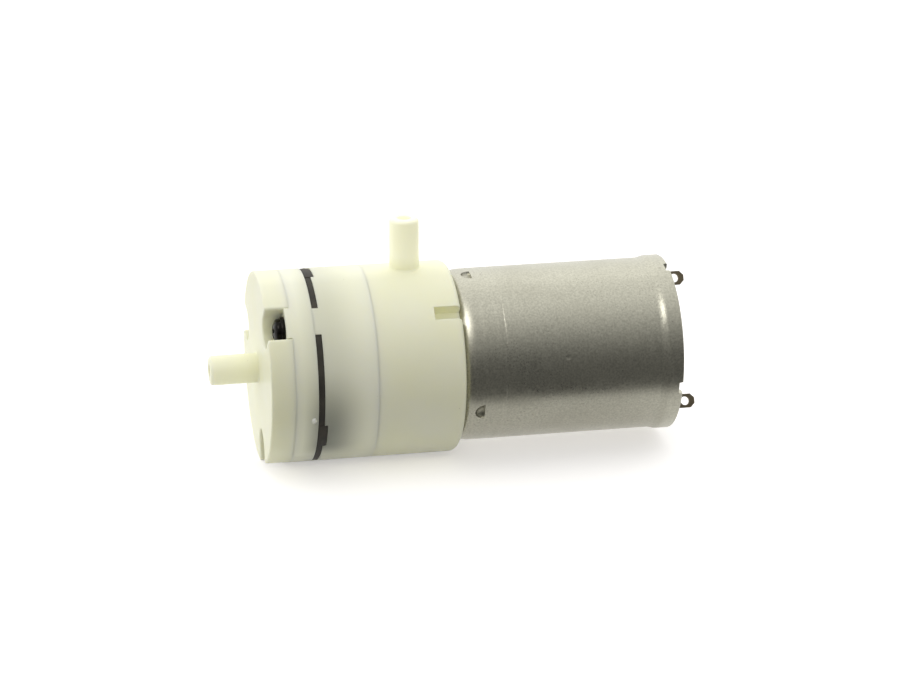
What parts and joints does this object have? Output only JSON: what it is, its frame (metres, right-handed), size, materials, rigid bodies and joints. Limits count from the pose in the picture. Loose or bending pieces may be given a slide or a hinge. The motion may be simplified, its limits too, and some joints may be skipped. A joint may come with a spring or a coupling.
{
  "type": "air pump",
  "caption": "Small round diaphragm air pump: ivory moulded head with an axial outlet nozzle and a radial inlet nozzle, on a plated steel motor can with solder tabs.",
  "frame": {"origin": "on the shaft axis, midway along the motor can", "axes": "+X along the shaft from the pump head towards the motor terminals, +Z along the inlet nozzle, outlet nozzle pointing -X"},
  "size_m": [0.0695, 0.0272, 0.0343],
  "materials": {
    "ivory_plastic": "translucent ivory moulding, satin",
    "black_rubber": "matt moulded rubber",
    "valve_rubber": "matt moulded rubber",
    "black_screw": "black oxide, slightly glossy",
    "plated_steel": "nickel plated drawn steel, satin",
    "spring_steel": "blued spring steel",
    "sintered_bronze": "oil-filled sintered bronze",
    "nylon": "natural nylon",
    "ground_steel": "ground and polished",
    "lamination_steel": "stacked laminations",
    "phenolic": "moulded phenolic",
    "washer_nylon": "stamped fibre",
    "acetal": "natural acetal",
    "ferrite": "sintered ferrite",
    "brass_terminal": "tinned brass, dull",
    "spring_copper": "beryllium copper strip",
    "carbon": "copper-graphite",
    "copper_wire": "enamelled winding wire",
    "copper_bar": "turned copper"
  },
  "bodies": {
    "housing": {"brush_1": "carbon", "brush_2": "carbon", "brush_arm_1": "spring_copper", "brush_arm_2": "spring_copper", "brush_holder": "nylon", "crank_case": "ivory_plastic", "cylinder_body": "ivory_plastic", "diaphragm": "black_rubber", "end_plate": "plated_steel", "exhaust_valve": "valve_rubber", "front_bushing": "sintered_bronze", "front_cover": "ivory_plastic", "head_screws": "black_screw", "inlet_valve_1": "valve_rubber", "inlet_valve_2": "valve_rubber", "inlet_valve_3": "valve_rubber", "magnet_1": "ferrite", "magnet_2": "ferrite", "magnet_clip": "spring_steel", "motor_can": "plated_steel", "motor_screws": "black_screw", "rear_bushing": "sintered_bronze", "terminal_1": "brass_terminal", "terminal_2": "brass_terminal", "valve_plate": "ivory_plastic"},
    "rotor": {"motor_shaft": "ground_steel", "rotor_core": "lamination_steel", "commutator_hub": "phenolic", "front_washer": "washer_nylon", "rear_washer": "washer_nylon", "eccentric": "acetal", "drive_pin": "ground_steel", "coil_1": "copper_wire", "coil_2": "copper_wire", "coil_3": "copper_wire", "coil_4": "copper_wire", "coil_5": "copper_wire", "commutator_segment_1": "copper_bar", "commutator_segment_2": "copper_bar", "commutator_segment_3": "copper_bar", "commutator_segment_4": "copper_bar", "commutator_segment_5": "copper_bar"},
    "yoke": {"yoke": "acetal"}
  },
  "joints": [
    {"name": "rotor_spin", "type": "hinge", "parent": "housing", "child": "rotor", "pos_m": [0, 0, 0], "axis": [1, 0, 0], "continuous": true},
    {"name": "yoke_wobble", "type": "hinge", "parent": "rotor", "child": "yoke", "pos_m": [-0.03045, 0, 0], "axis": [0.9945, 0.0271, 0.101], "continuous": true, "deforming": ["diaphragm"]}
  ],
  "couplings": [
    {"joint": "yoke_wobble", "follows": "rotor_spin", "ratio": -1}
  ]
}
